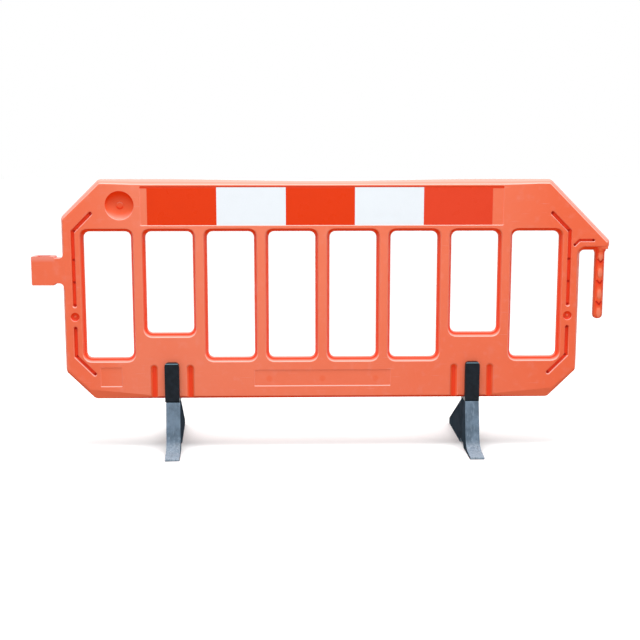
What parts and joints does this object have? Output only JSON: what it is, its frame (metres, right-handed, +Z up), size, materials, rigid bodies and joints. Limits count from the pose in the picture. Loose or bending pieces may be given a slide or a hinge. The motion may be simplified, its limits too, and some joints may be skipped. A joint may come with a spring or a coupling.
{
  "type": "pedestrian barrier panel",
  "caption": "Moulded orange barrier panel with upright openings, red and white reflective sheets, a link pin and socket at its ends, and swivelling feet.",
  "frame": {"origin": "on the ground, under the middle of the panel's length and depth", "axes": "+X along the panel towards the link pin, -Y out of the front face, +Z up"},
  "size_m": [2, 0.5135, 0.946],
  "materials": {
    "orange_plastic": "satin moulded polyethylene with a fine grain",
    "red_sheeting": "glossy retroreflective sheet",
    "white_sheeting": "glossy retroreflective sheet",
    "black_plastic": "satin moulded plastic",
    "grey_recycled_plastic": "scuffed recycled plastic",
    "zinc_steel": "zinc plated"
  },
  "bodies": {
    "panel_frame": {"panel": "orange_plastic", "front_red_sheet_left": "red_sheeting", "front_white_sheet_left": "white_sheeting", "front_red_sheet_middle": "red_sheeting", "front_white_sheet_right": "white_sheeting", "front_red_sheet_right": "red_sheeting", "rear_red_sheet_left": "red_sheeting", "rear_white_sheet_left": "white_sheeting", "rear_red_sheet_middle": "red_sheeting", "rear_white_sheet_right": "white_sheeting", "rear_red_sheet_right": "red_sheeting", "left_bracket": "black_plastic", "right_bracket": "black_plastic", "swivel_bolts": "zinc_steel", "swivel_washers": "zinc_steel", "swivel_nuts": "zinc_steel", "clamp_bolts": "zinc_steel", "clamp_washers": "zinc_steel", "clamp_nuts": "zinc_steel"},
    "left_foot": {"left_foot": "grey_recycled_plastic"},
    "right_foot": {"right_foot": "grey_recycled_plastic"}
  },
  "joints": [
    {"name": "left_foot_swivel", "type": "hinge", "parent": "panel_frame", "child": "left_foot", "pos_m": [-0.525, 0, 0.172], "axis": [0, 0, 1], "range_deg": [-93.5, 86.5]},
    {"name": "right_foot_swivel", "type": "hinge", "parent": "panel_frame", "child": "right_foot", "pos_m": [0.525, 0, 0.172], "axis": [0, 0, 1], "range_deg": [-90, 90]}
  ]
}
